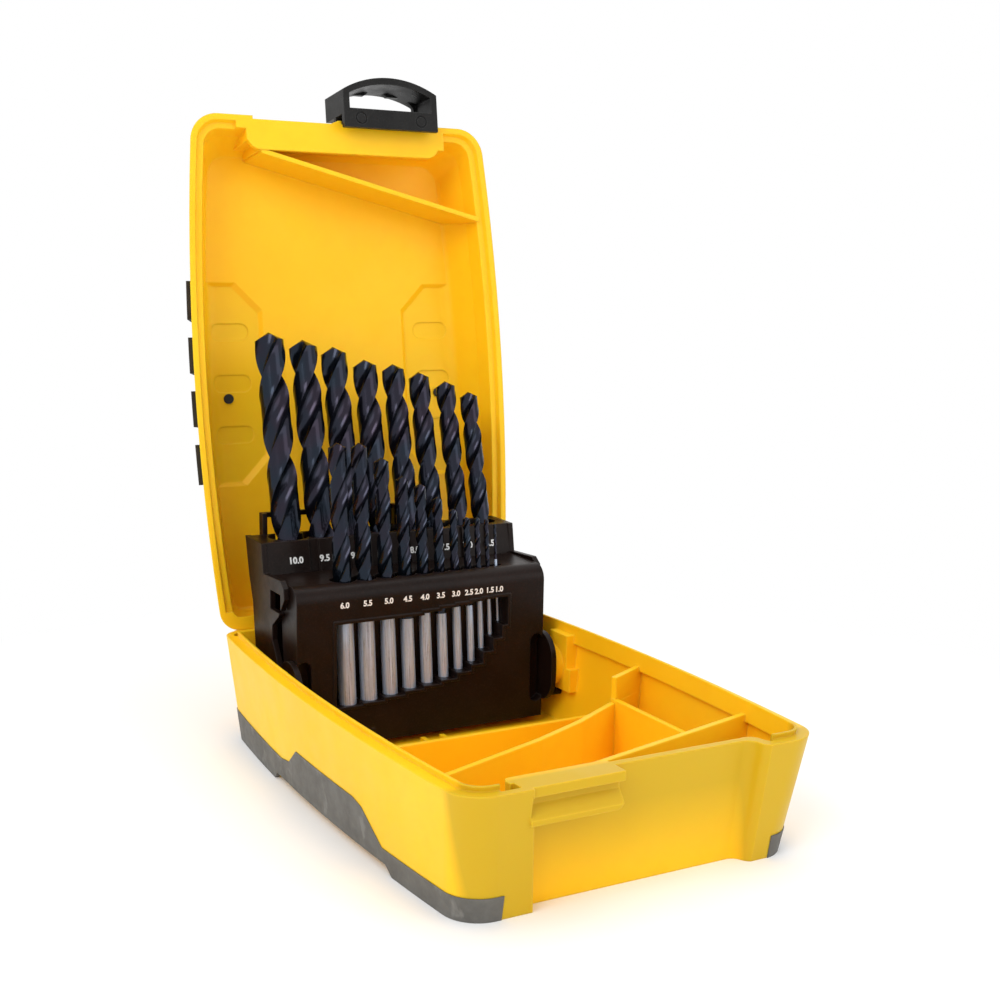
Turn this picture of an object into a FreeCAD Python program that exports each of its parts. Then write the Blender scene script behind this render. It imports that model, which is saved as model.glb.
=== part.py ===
import FreeCAD, Part
import math
import os

# A drill bit case standing open on its base. Millimetres, X to the right along the hinge,
# Y from the latch to the hinge, Z up, with the origin under the middle of the base.
# The lid and the latch are modelled closed and then swung open about the hinge line.

# Case
case_length = 174.0
rim_half_width = 54.5
side_bow = 4.4
base_height = 35.0
lid_height = 20.8
wall = 2.4
floor = 2.0
ceiling = 2.6
panel_wall = 1.3
front_corner = 10.0
back_corner = 7.0
side_draft = 3.7
front_draft = 6.5
back_draft = 4.0
lid_side_draft = 9.4
lid_front_draft = 9.2
lid_back_draft = 2.4
inner_corner_least = 1.5
lid_edge_round = 7.0
lid_inner_round = 5.0
open_angle = 98.3
seam = 0.2
overrun = 2.0

# Rim: the tongue of the base stands in the rabbet of the lid
tongue_height = 1.5
tongue_outer_inset = 3.35
tongue_inner_inset = 4.1
tongue_band_depth = 4.5
tongue_band_inset = 2.0
rabbet_lip = 2.0
rabbet_depth = 1.8
ledge_inset = 4.4
ledge_bottom = 8.0
rabbet_back_gap = 6.3
rabbet_left_end = -39.0
tongue_left_x = -43.4
tongue_right_x = 39.9
tongue_end_clearance = 0.4

# Front recess of both shells, where the latch runs
recess_depth = 6.0
recess_foot_depth = 4.3
recess_left = -35.5
recess_left_foot = -31.5
recess_ogee_start = 32.2
recess_ogee_end = 38.8
recess_brow = 0.3
lid_recess_left = -33.0
lid_recess_right = 37.0
lid_recess_draft = 1.0

# Catch on the base: a flange over a dished block
catch_left = -35.6
catch_right = -8.5
catch_front_gap = 1.0
catch_height = 10.0
catch_corner = 2.5
flange_thick = 2.6
flange_inner_y = -77.0
flange_shoulder_x = -39.0
flange_round = 2.0
groove_depth = 2.8
groove_height = 2.6
groove_dish = 3.4

# Front tab of the lid
tab_left = -35.5
tab_right = 37.4
tab_front_gap = 1.2
tab_inner_y = -75.6
tab_thick = 2.2
tab_round = 5.0
tab_stop_start = -4.4
tab_stop_end = -1.6
tab_stop_rise = 1.2

# Diagonal rib of the lid
rib_thick = 1.6
rib_left_x = -30.4
rib_left_y = -75.3
rib_right_x = 54.0
rib_right_y = -53.8
rib_gap = 0.3

# Side panels of the lid and the grips on them
panel_front = -31.2
panel_back = 37.3
panel_inner = 28.4
panel_corner_in = 9.4
panel_corner_along = 9.6
panel_slope = 1.4
grip_proud = 2.0
grip_sunk = 0.4
grip_low = 4.0
grip_slot_width = 6.0
grip_slot_pitch = 18.0
grip_slot_middle = 2.7
grip_slot_inner = 32.3
grip_slot_outer = 46.0
grip_slot_floor = 0.5
peg_x = 41.0
peg_y = 8.0
peg_radius = 1.2
peg_head_radius = 1.7
peg_head_thick = 0.8
peg_clearance = 0.05
slot_inside_depth = 0.3
slot_inside_low = 12.0

# Sliding latch
latch_left = -1.4
latch_width = 36.2
latch_lip_thick = 2.0
latch_lip_reach = 171.0
latch_play = 0.3
latch_web_inner = 175.7
latch_web_outer = 177.6
latch_back_depth = 11.5
upper_lip_reach = 170.0
arch_shoulder = 184.0
arch_crown = 188.9
arch_band = 2.3
arch_plate_thick = 2.0
arch_plate_set = 2.0
arch_slot_top = 185.4
arch_slot_bottom = 178.6
arch_slot_left = 0.9
arch_slot_right = 3.2
arch_slot_chamfer = 3.4
arch_notch_top = 187.2
arch_notch_width = 9.0
arch_notch_crown = 4.0
latch_dimple_radius = 2.2
latch_dimple_depth = 0.4
latch_dimple_inset = 6.5

# Dividers of the base
divider_thick = 1.8
divider1_y = 12.5
divider1_top = 13.4
side_plate_x = -47.7
side_plate_y = 4.0
side_plate_top = 29.8
divider2_run = [(-54.5, -47.6), (-34.6, -41.1), (1.6, -27.7), (20.9, -18.8), (38.4, -8.6), (58.9, 2.4)]
divider2_top = 24.0
divider2_step = (40.5, -7.3)
divider2_step_top = 32.0
divider3_run = [(-14.0, -73.6), (26.0, -63.2), (58.9, -54.4)]
divider3_top = 32.6
short_wall_x = 41.0
short_wall_back = -6.0
short_wall_front = -59.5
short_wall_top = 25.0
fin_positions = [-2.0, 5.0]
fin_thick = 1.6
fin_top = 4.4
fin_back = 41.0

# Bumpers, flush in the lower edge of the base
bumper_thick = 1.2
bumper_proud = 0.25
bumper_left_end = -40.5
bumper_right_end = 42.9
bumper_back_top = 10.2
bumper_low_top = 9.2
bumper_high_top = 16.0
bumper_front_top = 6.8
bumper_step_back_y = 22.0
bumper_step_run = 7.5
bumper_fall_start_y = -26.0
bumper_fall_end_y = -41.6
bumper_relief_back_y = 35.0
bumper_relief_front_y = -43.0
bumper_relief = 2.6
bumper_relief_slope = 3.0
foot_relief = 1.6
foot_relief_inner_x = 44.0

# Holder: pivot, trays and seats
pivot_y = 46.0
pivot_z = 22.0
pivot_radius = 2.5
pivot_clearance = 0.06
boss_radius = 7.4
boss_inner_x = 47.8
pivot_reach = 52.4
stop_peg_radius = 1.3
stop_peg_y = 43.5
stop_peg_gap = 0.25
pad_inner_x = 50.6
upper_pad_front = 37.0
upper_pad_back = 48.0
upper_pad_top = 33.5
lower_pad_front = 34.5
lower_pad_back = 44.5
lower_pad_low = 14.0
plate_outer_x = 47.0
plate_thick = 1.8
lobe_width = 17.0
lobe_height = 24.0
front_tray_half = 45.0
front_face_y = 43.5
tray_low = 4.6
front_tray_top = 57.6
front_roll = 5.0
front_back_low_y = 52.0
front_back_high_y = 57.5
deck_thick = 2.4
deck_back_y = 66.9
lobe_notch_x = 42.6
lobe_notch_radius = 2.5
lobe_notch_low = 10.0
lobe_notch_high = 34.0
lobe_notch_depth = 3.6
window_left = -31.7
window_right = 30.9
window_depth = 7.0
window_frame = 1.0
window_frame_proud = 0.5
rear_half = 46.0
plate_front_profile = [(84.6, 68.0), (69.3, 67.8), (67.7, 58.2), (52.5, 58.9), (49.6, 56.8), (49.0, 53.4),
                       (54.3, 46.7), (59.8, 42.8), (59.9, 37.8), (55.0, 31.0), (52.0, 28.2), (50.0, 10.5), (57.0, 4.6)]
plate_back_profile = [(75.4, 30.8), (77.8, 47.3), (81.1, 55.1)]
rear_top = 67.8
rear_lean = 14.3
front_lean = 5.9
rear_axis_y = 75.9
rear_axis_z = 60.0
front_axis_y = 48.5
front_axis_z = 30.0
rear_front_offset = 8.0
rear_back_offset = 6.6
rear_groove_width = 3.6
rear_groove_depth = 1.4
rear_groove_height = 11.0
plate_slot_front = 52.4
plate_slot_back = 61.4
plate_slot_low = 48.0
plate_slot_high = 54.3
seat_clearance = 0.05
scallop_margin = 1.7
scallop_depth = 7.0
front_scallop_margin = 1.3
front_scallop_depth = 5.0
bar_thick = 1.6
bar_z = 75.0
bar_left = -40.5
bar_right = 8.0
bar_y = 86.6
bar_post_front = 83.2

# Drills: diameter, whole length, flute length, place along X and height of the tip
rear_sizes = [10.0, 9.5, 9.0, 8.5, 8.0, 7.5, 7.0, 6.5]
rear_lengths = [133.0, 125.0, 125.0, 117.0, 117.0, 109.0, 109.0, 101.0]
rear_flutes = [87.0, 81.0, 81.0, 75.0, 75.0, 69.0, 69.0, 63.0]
rear_places = [-34.5, -22.6, -11.7, -0.5, 10.2, 19.9, 30.1, 39.0]
rear_tips = [134.7, 132.1, 129.6, 125.1, 123.4, 120.4, 117.0, 113.0]
front_sizes = [6.0, 5.5, 5.0, 4.5, 4.0, 3.5, 3.0, 2.5, 2.0, 1.5, 1.0]
front_lengths = [93.0, 93.0, 86.0, 80.0, 75.0, 70.0, 61.0, 57.0, 49.0, 40.0, 34.0]
front_flutes = [57.0, 57.0, 52.0, 47.0, 43.0, 39.0, 33.0, 30.0, 24.0, 18.0, 12.0]
front_places = [-26.2, -18.6, -10.9, -3.9, 2.7, 8.9, 14.6, 19.6, 23.6, 27.2, 30.4]
rear_phase_shares = [0.595, 0.48, 0.617, 0.606, 0.546, 0.657, 0.593, 0.65]
front_phase_shares = [0.667, 0.63, 0.70, 0.72, 0.74, 0.72, 0.70, 0.66, 0.70, 0.62, 0.66]
front_tips = [101.6, 101.2, 96.0, 89.6, 86.8, 82.0, 77.7, 74.6, 74.2, 73.4, 71.4]
window_bottoms = [17.6, 18.1, 19.0, 20.1, 21.0, 22.1, 24.0, 26.1, 30.0, 34.2, 38.5]
window_tops = [45.0, 45.0, 45.0, 45.0, 45.8, 46.5, 47.0, 47.6, 48.0, 48.2, 48.2]
point_angle = 118.0
helix_angle = 30.0
web_share = 0.30
land_angle = 42.0
view_turn = 60.7
front_helix_angle = 28.0
runout_share = 1.6
twist_step = 30.0

# Hinge film
film_radius = 1.1
film_half_length = 50.0

# Worked out from the sizes above
V = FreeCAD.Vector
rim_z = base_height
top_z = rim_z + lid_height
front_y = -case_length / 2
back_y = case_length / 2
along_x = V(1, 0, 0)
base_side = 1
lid_side = -1
far = case_length


def line(a, b):
    return Part.makeLine(a, b)


def arc(a, b, c):
    return Part.Arc(a, b, c).toShape()


def block(x0, x1, y0, y1, z0, z1):
    return Part.makeBox(x1 - x0, y1 - y0, z1 - z0, V(x0, y0, z0))


def plan_prism(points, z0, z1):
    """A prism standing on a plan outline of (x, y) points."""
    corners = [V(x, y, z0) for x, y in points]
    face = Part.Face(Part.makePolygon(corners + [corners[0]]))
    return face.extrude(V(0, 0, z1 - z0))


def side_prism(points, x0, x1):
    """A prism along X from a side outline of (y, z) points."""
    corners = [V(x0, y, z) for y, z in points]
    face = Part.Face(Part.makePolygon(corners + [corners[0]]))
    return face.extrude(V(x1 - x0, 0, 0))


def joined(shapes):
    whole = shapes[0]
    for other in shapes[1:]:
        whole = whole.fuse(other)
    return whole.removeSplitter()


def away(z, side):
    """How far z lies from the rim, as a share of the height of the shell."""
    return side * (rim_z - z) / (base_height if side == base_side else lid_height)


def drafts(side):
    """How far the flanks, the front and the back of a shell lean in over its height."""
    if side == base_side:
        return side_draft, front_draft, back_draft
    return lid_side_draft, lid_front_draft, lid_back_draft


def outline(z, inset, side):
    """The closed outline of a shell at height z, moved in by inset."""
    share = away(z, side)
    flank_lean, front_lean_in, back_lean_in = drafts(side)
    half = rim_half_width - flank_lean * share - inset
    front = front_y + front_lean_in * share + inset
    back = back_y - back_lean_in * share - inset
    middle = (front + back) / 2
    run = (back - front) / 2
    bend = (side_bow ** 2 + run ** 2) / (2 * side_bow)
    axis = half + side_bow - bend

    def corner(edge_y, inward, size):
        radius = max(size - inset, inner_corner_least)
        cy = edge_y + inward * radius
        cx = axis + math.sqrt((bend - radius) ** 2 - (cy - middle) ** 2)
        reach = math.hypot(cx - axis, cy - middle)
        ux = (cx - axis) / reach
        uy = (cy - middle) / reach
        mx = ux
        my = uy - inward
        size_m = math.hypot(mx, my)
        flat = (cx, edge_y)
        turn = (cx + radius * mx / size_m, cy + radius * my / size_m)
        flank = (cx + radius * ux, cy + radius * uy)
        return flat, turn, flank

    f_flat, f_turn, f_flank = corner(front, 1, front_corner)
    b_flat, b_turn, b_flank = corner(back, -1, back_corner)

    def right(p):
        return V(p[0], p[1], z)

    def left(p):
        return V(-p[0], p[1], z)

    bulge = (half + side_bow, middle)
    return Part.Wire([
        line(left(f_flat), right(f_flat)),
        arc(right(f_flat), right(f_turn), right(f_flank)),
        arc(right(f_flank), right(bulge), right(b_flank)),
        arc(right(b_flank), right(b_turn), right(b_flat)),
        line(right(b_flat), left(b_flat)),
        arc(left(b_flat), left(b_turn), left(b_flank)),
        arc(left(b_flank), left(bulge), left(f_flank)),
        arc(left(f_flank), left(f_turn), left(f_flat)),
    ])


def tub(z0, z1, inset, side, inset_end=None):
    """The solid inside the outline between two heights."""
    end = inset if inset_end is None else inset_end
    return Part.makeLoft([outline(z0, inset, side), outline(z1, end, side)], True, True)


def edges_at(shape, z):
    """The edges that lie in the level plane at z."""
    level = inner_corner_least / 1000
    return [e for e in shape.Edges if abs(e.BoundBox.ZMin - z) < level and abs(e.BoundBox.ZMax - z) < level]


def recess_wall_y(z, side):
    share = away(z, side)
    if side == lid_side:
        return front_y + recess_depth + lid_recess_draft * share
    depth = recess_depth + (recess_foot_depth - recess_depth) * share
    return front_y + front_draft * share + depth


def ogee_outline(z, inset):
    """The front recess of the base in plan: a sharp step on the left, an ogee on the right."""
    share = away(z, base_side)
    left = recess_left + (recess_left_foot - recess_left) * share - inset
    y0 = recess_wall_y(z, base_side) + inset
    y1 = front_y + front_draft * share - recess_brow + inset
    x0 = recess_ogee_start + inset
    x1 = recess_ogee_end + inset
    dx = x1 - x0
    dy = y0 - y1
    radius = (dx ** 2 + dy ** 2) / (4 * dy)
    half_turn = math.asin(dx / 2 / radius) / 2
    sx = radius * math.sin(half_turn)
    sy = radius * (1 - math.cos(half_turn))
    outer_y = front_y - case_length / 10
    a = V(left, outer_y, z)
    b = V(left, y0, z)
    c = V(x0, y0, z)
    d = V((x0 + x1) / 2, (y0 + y1) / 2, z)
    e = V(x1, y1, z)
    f = V(x1, outer_y, z)
    return Part.Wire([
        line(a, b),
        line(b, c),
        arc(c, V(x0 + sx, y0 - sy, z), d),
        arc(d, V(x1 - sx, y1 + sy, z), e),
        line(e, f),
        line(f, a),
    ])


def base_recess(inset):
    return Part.makeLoft([ogee_outline(-overrun, inset), ogee_outline(rim_z + overrun, inset)], True, True)


def lid_recess(inset):
    wires = []
    for z in (rim_z - overrun, top_z + overrun):
        y = recess_wall_y(z, lid_side) + inset
        outer_y = front_y - case_length / 10
        x0 = lid_recess_left - inset
        x1 = lid_recess_right + inset
        points = [V(x0, outer_y, z), V(x0, y, z), V(x1, y, z), V(x1, outer_y, z)]
        wires.append(Part.makePolygon(points + [points[0]]))
    return Part.makeLoft(wires, True, True)


def wall_between(p, q, thick, z0, z1):
    """An upright wall along the line from p to q."""
    dx = q[0] - p[0]
    dy = q[1] - p[1]
    size = math.hypot(dx, dy)
    nx = -dy / size * thick / 2
    ny = dx / size * thick / 2
    return plan_prism([(p[0] + nx, p[1] + ny), (q[0] + nx, q[1] + ny),
                       (q[0] - nx, q[1] - ny), (p[0] - nx, p[1] - ny)], z0, z1)


def wall_through(points, thick, z0, z1):
    walls = [wall_between(p, q, thick, z0, z1) for p, q in zip(points, points[1:])]
    knots = [Part.makeCylinder(thick / 2, z1 - z0, V(x, y, z0)) for x, y in points[1:-1]]
    return joined(walls + knots)


def bumper_edge():
    """The upper edge of a bumper as (y, z), from behind the case to in front of it."""
    return [
        (far, bumper_back_top),
        (back_y - back_draft - bumper_step_run, bumper_back_top),
        (bumper_step_back_y + bumper_step_run, bumper_low_top),
        (bumper_step_back_y, bumper_low_top + bumper_thick),
        (bumper_step_back_y - bumper_step_run, bumper_high_top),
        (bumper_fall_start_y, bumper_high_top),
        ((bumper_fall_start_y * 2 + bumper_fall_end_y) / 3, bumper_high_top - bumper_thick),
        (bumper_fall_end_y, bumper_front_top),
        (-far, bumper_front_top),
    ]


def bumper_region(x0, x1):
    points = bumper_edge() + [(-far, -overrun), (far, -overrun)]
    return side_prism(points, x0, x1)


def relief_block():
    """The space under the lower edge of the case between its corner feet."""
    low = -overrun
    a = bumper_relief_front_y
    b = bumper_relief_back_y
    points = [(a - bumper_relief_slope, 0), (a, bumper_relief), (b, bumper_relief), (b + bumper_relief_slope, 0),
              (b + bumper_relief_slope, low), (a - bumper_relief_slope, low)]
    return side_prism(points, -far / 2, far / 2)


def foot_step(side, z, widen):
    """The raised strip of the floor along one side, between the feet at the corners."""
    a = bumper_relief_front_y - bumper_relief_slope
    b = bumper_relief_back_y + bumper_relief_slope
    high = z + foot_relief
    points = [(a - widen, z), (a - widen + foot_relief, high), (b + widen - foot_relief, high),
              (b + widen, z), (b + widen, z - overrun), (a - widen, z - overrun)]
    x0, x1 = sorted((side * (foot_relief_inner_x - widen), side * far))
    return side_prism(points, x0, x1)


def make_bumpers():
    shell = tub(0, rim_z, -bumper_proud, base_side).cut(tub(-overrun, rim_z + overrun, bumper_thick, base_side))
    shell = shell.cut(relief_block())
    left = shell.common(bumper_region(-far / 2, bumper_left_end))
    right = shell.common(bumper_region(bumper_right_end, far / 2))
    return left, right


def make_base():
    outer = tub(0, rim_z, 0, base_side)
    outer = outer.cut(base_recess(0))
    cavity = tub(floor, rim_z + overrun, wall, base_side).cut(base_recess(wall))
    for side in (-1, 1):
        outer = outer.cut(foot_step(side, 0, 0))
        cavity = cavity.cut(foot_step(side, floor, wall))
    shell = outer.cut(cavity)

    band = tub(rim_z - tongue_band_depth, rim_z + tongue_height, tongue_outer_inset, base_side)
    band = band.fuse(tub(rim_z - tongue_band_depth, rim_z, tongue_band_inset, base_side))
    band = band.cut(tub(rim_z - tongue_band_depth - overrun, rim_z + tongue_height + overrun,
                        tongue_inner_inset, base_side))
    gap = block(tongue_left_x, tongue_right_x, -far, 0, -far, far)
    behind = block(-far, far, back_y - rabbet_back_gap - tongue_end_clearance, far, -far, far)
    shell = shell.fuse(band.cut(gap).cut(behind))

    low = floor / 2
    half = divider_thick / 2
    flank = rim_half_width + side_bow
    walls = [
        block(-flank, flank, divider1_y - half, divider1_y + half, low, divider1_top),
        block(-flank, side_plate_x, side_plate_y - half, side_plate_y + half, low, side_plate_top),
        wall_through(divider2_run, divider_thick, low, divider2_top),
        wall_between(divider2_step, divider2_run[-1], divider_thick, low, divider2_step_top),
        wall_through(divider3_run, divider_thick, low, divider3_top),
        block(short_wall_x - half, short_wall_x + half, short_wall_front, short_wall_back, low, short_wall_top),
    ]
    for x in fin_positions:
        walls.append(block(x - fin_thick / 2, x + fin_thick / 2, divider1_y, fin_back, low, fin_top))
    inside = tub(low, rim_z, wall / 2, base_side).cut(base_recess(wall / 2))
    shell = shell.fuse(joined(walls).common(inside))

    clips = []
    for side in (-1, 1):
        boss = Part.makeCylinder(boss_radius, far, V(side * boss_inner_x, pivot_y, pivot_z), V(side, 0, 0))
        x0, x1 = sorted((side * pad_inner_x, side * far))
        upper = block(x0, x1, upper_pad_front, upper_pad_back, pivot_z, upper_pad_top)
        lower = block(x0, x1, lower_pad_front, lower_pad_back, lower_pad_low, pivot_z)
        clip = joined([boss, upper, lower])
        bore = Part.makeCylinder(pivot_radius + pivot_clearance, pivot_reach + seam - boss_inner_x + overrun,
                                 V(side * (boss_inner_x - overrun), pivot_y, pivot_z), V(side, 0, 0))
        clips.append((clip, bore))
    for clip, bore in clips:
        shell = shell.fuse(clip.common(inside)).cut(bore)

    catch_front = front_y + catch_front_gap
    catch_low = rim_z - catch_height
    back_high = recess_wall_y(rim_z, base_side) + wall / 2
    back_low = recess_wall_y(catch_low, base_side) + wall / 2
    body = side_prism([(catch_front, catch_low), (catch_front, rim_z), (back_high, rim_z), (back_low, catch_low)],
                      catch_left, catch_right)
    rounded = [e for e in body.Edges
               if abs(e.BoundBox.XMin - catch_right) < seam and e.BoundBox.ZMax < catch_low + seam]
    body = body.makeFillet(catch_corner, rounded)
    g_top = rim_z - flange_thick
    dish = side_prism([(catch_front - overrun, g_top), (catch_front + groove_depth, g_top),
                       (catch_front + groove_depth, g_top - groove_height),
                       (catch_front, g_top - groove_height - groove_dish),
                       (catch_front - overrun, g_top - groove_height - groove_dish)],
                      catch_left, catch_right + overrun)
    flange = block(flange_shoulder_x, catch_right, recess_wall_y(rim_z, base_side), flange_inner_y,
                   rim_z - flange_thick, rim_z)
    ends = [e for e in flange.Edges if abs(e.BoundBox.ZLength - flange_thick) < seam
            and abs(e.BoundBox.YMin - flange_inner_y) < seam]
    flange = flange.makeFillet(flange_round, ends)
    shell = shell.fuse(body.fuse(flange)).cut(dish)

    left, right = make_bumpers()
    core = tub(-2 * overrun, rim_z + overrun, bumper_thick, base_side)
    pocket = tub(-overrun, rim_z, -overrun, base_side).cut(core)
    shell = shell.cut(pocket.common(bumper_region(-far / 2, bumper_left_end)))
    shell = shell.cut(pocket.common(bumper_region(bumper_right_end, far / 2)))
    return shell.removeSplitter(), left, right


def opened(shape):
    swung = shape.copy()
    swung.rotate(V(0, back_y, rim_z), along_x, -open_angle)
    return swung


def lid_body(grow):
    """The outer body of the lid, larger by grow all round."""
    body = tub(rim_z, top_z + grow, -grow, lid_side)
    return body.makeFillet(lid_edge_round + grow, edges_at(body, top_z + grow))


def lid_room(grow):
    """The room of the lid below its ledge, larger by grow all round."""
    low = rim_z + ledge_bottom
    high = top_z - panel_wall + grow
    room = tub(low, high, wall - grow, lid_side)
    return room.makeFillet(lid_inner_round + grow, edges_at(room, high))


def panel_points(side, grow):
    inner = panel_inner - grow
    low = panel_front - grow
    high = panel_back + grow
    points = [(far / 2, low), (inner + panel_corner_in, low), (inner, low + panel_corner_along),
              (inner, high - panel_corner_along), (inner + panel_corner_in, high), (far / 2, high)]
    return [(side * x, y) for x, y in points]


def slot_places():
    return [grip_slot_middle + i * grip_slot_pitch for i in (-1, 0, 1)]


def make_grip(side):
    region = plan_prism(panel_points(side, 0), rim_z + grip_low, top_z + overrun)
    skin = lid_body(grip_proud).cut(lid_body(-grip_sunk))
    grip = skin.common(region)
    groove_skin = lid_body(grip_proud + overrun).cut(lid_body(grip_slot_floor))
    for y in slot_places():
        x0, x1 = sorted((side * grip_slot_inner, side * far))
        cutter = block(x0, x1, y - grip_slot_width / 2, y + grip_slot_width / 2, rim_z, top_z + 2 * overrun)
        grip = grip.cut(cutter.common(groove_skin))
    x = side * peg_x
    stem_low = top_z - panel_wall - peg_head_thick
    stem = Part.makeCylinder(peg_radius, top_z - stem_low, V(x, peg_y, stem_low))
    head = Part.makeCylinder(peg_head_radius, peg_head_thick, V(x, peg_y, stem_low))
    return joined([grip, stem, head])


def make_lid():
    z0 = rim_z + seam
    body = lid_body(0).cut(block(-far, far, -far, far, -far, z0)).cut(lid_recess(0))
    low_room = tub(rim_z - overrun, rim_z + rabbet_depth, rabbet_lip, lid_side)
    low_room = low_room.common(block(-far, far, -far, back_y - rabbet_back_gap, -far, far))
    low_room = low_room.cut(block(rabbet_left_end, 0, -far, recess_wall_y(rim_z, lid_side) + wall, -far, far))
    ledge_room = tub(rim_z, rim_z + ledge_bottom, ledge_inset, lid_side, wall)
    room = joined([low_room, ledge_room, lid_room(0)]).cut(lid_recess(wall))
    shell = body.cut(room)

    tab_z = z0 + tab_thick
    stop_y = front_y - tab_stop_rise
    stop_x = tab_stop_end + tab_stop_rise
    tab_front = front_y + tab_front_gap
    stop_y = tab_front - tab_stop_rise
    stop_x = tab_stop_end + tab_stop_rise
    tab = plan_prism([(tab_left, tab_front), (tab_stop_start, tab_front), (tab_stop_end, stop_y), (stop_x, stop_y),
                      (stop_x, tab_front), (tab_right, tab_front), (tab_right, tab_inner_y), (tab_left, tab_inner_y)],
                     z0, tab_z)
    ends = [e for e in tab.Edges if abs(e.BoundBox.ZLength - tab_thick) < seam / 10
            and abs(e.BoundBox.YMin - tab_inner_y) < seam]
    tab = tab.makeFillet(tab_round, ends)

    rib_low = z0 + rib_gap
    rib_high = top_z - ceiling / 2
    rib_end = (rib_left_x, rib_left_y)
    rib = wall_between(rib_end, (rib_right_x, rib_right_y), rib_thick, rib_low, rib_high)
    rib_back = wall_between((rib_left_x, rib_left_y - tab_round), rib_end, rib_thick, rib_low, rib_high)
    inside = tub(rib_low, rib_high, wall / 2, lid_side).cut(lid_recess(wall / 2))
    tongue_room = low_room.cut(tub(rim_z - 2 * overrun, rim_z + ledge_bottom, ledge_inset, lid_side))
    rib = rib.fuse(rib_back).common(inside).cut(tongue_room)
    plateau = lid_body(-panel_wall / 2).common(block(-far, far, -far, far, top_z - ceiling, top_z + overrun))
    deep = panel_slope * (1 - ceiling / (ceiling - panel_wall))
    for side in (-1, 1):
        wires = []
        for z, grow in ((top_z - ceiling, panel_slope), (top_z, deep)):
            points = [V(x, y, z) for x, y in panel_points(side, grow)]
            wires.append(Part.makePolygon(points + [points[0]]))
        plateau = plateau.cut(Part.makeLoft(wires, True, True))
    shell = joined([shell, tab, rib, plateau])

    slot_skin = lid_room(slot_inside_depth)
    for side in (-1, 1):
        for y in slot_places():
            x0, x1 = sorted((side * grip_slot_inner, side * grip_slot_outer))
            slot = block(x0, x1, y - grip_slot_width / 2, y + grip_slot_width / 2, rim_z + slot_inside_low, top_z)
            upright = [e for e in slot.Edges if e.BoundBox.ZLength > ceiling]
            slot = slot.makeFillet(grip_slot_width / 2 - seam, upright)
            shell = shell.cut(slot.common(slot_skin))
        region = plan_prism(panel_points(side, 0), rim_z + grip_low, top_z + overrun)
        pocket = lid_body(overrun).cut(lid_body(-grip_sunk)).common(region)
        hole = Part.makeCylinder(peg_radius + peg_clearance, far, V(side * peg_x, peg_y, rim_z))
        shell = shell.cut(pocket).cut(hole)
    return shell.removeSplitter()


def latch_point(x, s, depth):
    """A point of the latch from its place along X, its distance from the hinge and its depth in the lid."""
    return V(x, back_y - s, rim_z + depth)


def latch_plate(points, depth0, depth1):
    corners = [latch_point(x, s, depth0) for x, s in points]
    face = Part.Face(Part.makePolygon(corners + [corners[0]]))
    return face.extrude(V(0, 0, depth1 - depth0))


def arch_solid(inset, depth0, depth1):
    """The bow of the latch, as a body bounded by an arc on two shoulders."""
    x0 = latch_left + inset
    x1 = latch_left + latch_width - inset
    foot = latch_web_inner
    shoulder = arch_shoulder - inset / 2
    crown = arch_crown - inset
    a = latch_point(x0, foot, depth0)
    b = latch_point(x0, shoulder, depth0)
    c = latch_point((x0 + x1) / 2, crown, depth0)
    d = latch_point(x1, shoulder, depth0)
    e = latch_point(x1, foot, depth0)
    face = Part.Face(Part.Wire([line(a, b), arc(b, c, d), line(d, e), line(e, a)]))
    return face.extrude(V(0, 0, depth1 - depth0))


def make_latch():
    x0 = latch_left
    x1 = latch_left + latch_width
    lip_top = -(flange_thick + latch_play)
    lip_low = lip_top - latch_lip_thick
    back = latch_back_depth

    def bar(s0, s1, depth0, depth1):
        return latch_plate([(x0, s0), (x1, s0), (x1, s1), (x0, s1)], depth0, depth1)

    lip = bar(latch_lip_reach, latch_web_outer, lip_low, lip_top)
    web = bar(latch_web_inner, latch_web_outer, lip_low, back)
    over = seam + tab_thick + latch_play
    upper = bar(upper_lip_reach, latch_web_outer, over, over + latch_lip_thick)
    band = arch_solid(0, lip_low, back).cut(arch_solid(arch_band, lip_low - overrun, back + overrun))
    plate = arch_solid(arch_band / 2, back - arch_plate_set - arch_plate_thick, back - arch_plate_set)
    sx0 = x0 + arch_slot_left
    sx1 = x1 - arch_slot_right
    middle = (x0 + x1) / 2
    half = arch_notch_width / 2
    top = arch_notch_crown / 2
    slot = latch_plate([
        (sx0, arch_slot_bottom), (sx0, arch_slot_top),
        (middle - half, arch_slot_top), (middle - top, arch_notch_top),
        (middle + top, arch_notch_top), (middle + half, arch_slot_top),
        (sx1 - arch_slot_chamfer, arch_slot_top), (sx1, arch_slot_top - arch_slot_chamfer),
        (sx1, arch_slot_bottom)],
        back - arch_plate_set - arch_plate_thick - overrun, back + overrun)
    plate = plate.cut(slot)
    latch = joined([lip, web, upper, band, plate])
    for x in (x0 + latch_dimple_inset, x1 - latch_dimple_inset):
        spot = latch_point(x, (latch_lip_reach + latch_web_outer) / 2, lip_low)
        dimple = Part.makeCylinder(latch_dimple_radius, latch_dimple_depth, spot)
        core = Part.makeCylinder(latch_dimple_radius * 3 / 4, latch_dimple_depth, spot)
        latch = latch.cut(dimple.cut(core))
    return latch.removeSplitter()


def lean_vector(lean):
    angle = math.radians(lean)
    return V(0, math.sin(angle), math.cos(angle))


def axis_point(x, z, lean, ref_y, ref_z):
    return V(x, ref_y + (z - ref_z) * math.tan(math.radians(lean)), z)


def rear_point(x, z):
    return axis_point(x, z, rear_lean, rear_axis_y, rear_axis_z)


def front_point(x, z):
    return axis_point(x, z, front_lean, front_axis_y, front_axis_z)


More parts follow.
